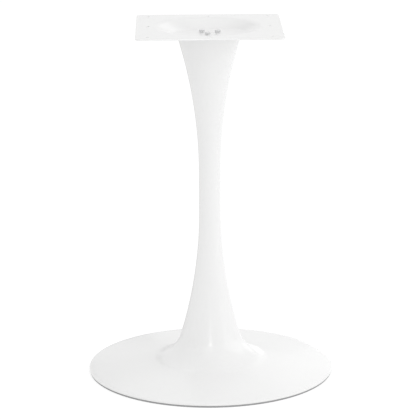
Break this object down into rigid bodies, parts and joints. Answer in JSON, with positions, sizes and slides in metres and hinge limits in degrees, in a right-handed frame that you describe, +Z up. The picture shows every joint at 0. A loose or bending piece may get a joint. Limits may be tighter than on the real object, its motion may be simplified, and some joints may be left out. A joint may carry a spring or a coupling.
{
  "type": "tulip table base",
  "caption": "White trumpet-shaped pedestal table base with a round foot and a square, dished top plate bolted on, for screwing up into a table top.",
  "frame": {"origin": "on the floor, at the middle of the round foot", "axes": "+Z up along the column, X and Y along the sides of the square top plate, -Y towards the viewer of the picture"},
  "size_m": [0.504, 0.504, 0.72],
  "materials": {
    "white_gloss_coat": "gloss",
    "grey_rubber": "matte",
    "zinc_plated_steel": "satin"
  },
  "bodies": {
    "root": {"pedestal": "white_gloss_coat", "top_plate": "white_gloss_coat", "floor_ring": "grey_rubber", "plate_bolts": "zinc_plated_steel", "spring_washers": "zinc_plated_steel"}
  },
  "joints": []
}
